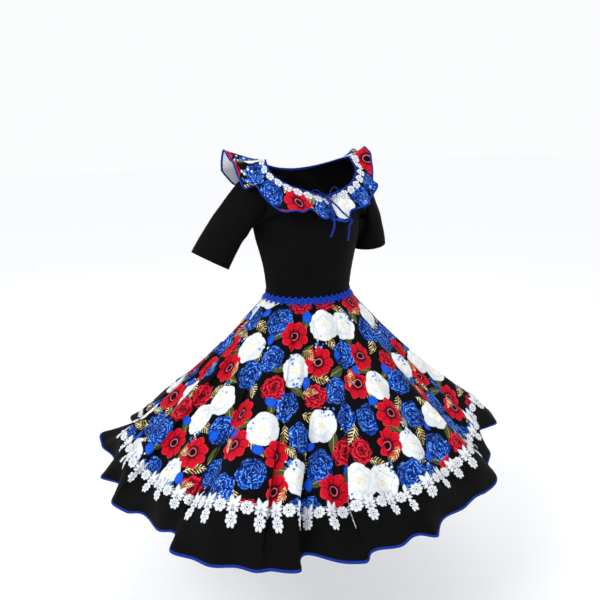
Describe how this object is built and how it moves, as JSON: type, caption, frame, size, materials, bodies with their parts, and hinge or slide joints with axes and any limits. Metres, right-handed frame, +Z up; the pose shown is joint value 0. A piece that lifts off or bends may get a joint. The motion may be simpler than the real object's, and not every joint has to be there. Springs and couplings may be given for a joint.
{
  "type": "folk dance dress",
  "caption": "Wide flared floral dress with a fitted dark bodice, elbow sleeves, a ruffled open neckline, a lace-edged skirt and a bound flounce.",
  "frame": {"origin": "midway between the shoulders, at the height of the inner ends of the shoulder seams", "axes": "+Z up, -Y the wearer's front, +X the wearer's left"},
  "size_m": [1.2367, 1.2404, 0.9245],
  "materials": {
    "crepe": "matt black crepe",
    "print": "smooth printed cloth, flowers on black, white on the wrong side",
    "guipure": "white cotton guipure edging",
    "blue_bias": "blue bias tape and braid",
    "blue_ribbon": "blue satin ribbon"
  },
  "bodies": {
    "root": {"bodice_front": "crepe", "bodice_back": "crepe", "sleeve_right": "crepe", "sleeve_left": "crepe", "skirt_front": "print", "skirt_back": "print", "flounce_front": "crepe", "flounce_back": "crepe", "hem_binding": "blue_bias", "skirt_lace": "guipure", "neck_binding": "blue_bias", "frill_front": "print", "frill_back": "print", "frill_binding": "blue_bias", "neck_lace": "guipure", "waist_braid": "blue_bias", "bow_knot": "blue_ribbon", "bow_loop_right": "blue_ribbon", "bow_loop_left": "blue_ribbon", "bow_tail_right": "blue_ribbon", "bow_tail_left": "blue_ribbon"}
  },
  "joints": []
}
